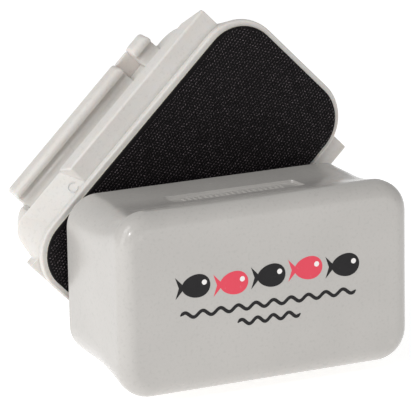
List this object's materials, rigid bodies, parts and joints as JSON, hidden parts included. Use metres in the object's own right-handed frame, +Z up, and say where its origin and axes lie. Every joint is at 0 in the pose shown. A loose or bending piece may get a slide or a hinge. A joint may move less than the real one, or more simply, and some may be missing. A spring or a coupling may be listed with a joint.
{
  "type": "magnetic glass cleaner",
  "caption": "Two-part magnetic glass cleaner: a grey moulded handle for the dry side of an aquarium and a floating scrubber with a black pad for the wet side.",
  "frame": {"origin": "centre of the handle's flat front face", "axes": "+X along the handle to the right, +Y from the user through the glass, +Z up"},
  "size_m": [0.1259, 0.0809, 0.1257],
  "materials": {
    "handle_plastic": "glossy warm light grey, injection moulded",
    "float_plastic": "satin off-white, injection moulded",
    "felt": "dense short felt",
    "scrub_pad": "black woven hook fabric",
    "adhesive": "thin double-sided adhesive film",
    "carrier_plastic": "moulded frame",
    "magnet_block": "dark sintered magnet block with ground faces",
    "yoke_steel": "zinc-plated mild steel",
    "packing_foam": "light open-cell packing foam",
    "float_foam": "closed-cell float foam",
    "seal_rubber": "soft black rubber"
  },
  "bodies": {
    "outer_half": {"outer_shell": "handle_plastic", "outer_cover_plate": "handle_plastic", "outer_felt_pad": "felt", "outer_adhesive_film": "adhesive", "outer_magnet_carrier": "carrier_plastic", "outer_magnet_left": "magnet_block", "outer_magnet_middle": "magnet_block", "outer_magnet_right": "magnet_block", "outer_steel_yoke": "yoke_steel", "outer_foam_packer": "packing_foam"},
    "inner_half": {"inner_shell": "float_plastic", "inner_base_plate": "float_plastic", "inner_scrub_pad": "scrub_pad", "inner_adhesive_film": "adhesive", "inner_seal_ring": "seal_rubber", "inner_magnet_carrier": "carrier_plastic", "inner_magnet_left": "magnet_block", "inner_magnet_middle": "magnet_block", "inner_magnet_right": "magnet_block", "inner_steel_yoke": "yoke_steel", "inner_float_foam": "float_foam"}
  },
  "joints": [
    {"name": "pull_apart", "type": "slide", "parent": "outer_half", "child": "inner_half", "axis": [0, 1, 0], "range_m": [0, 0.06]}
  ]
}
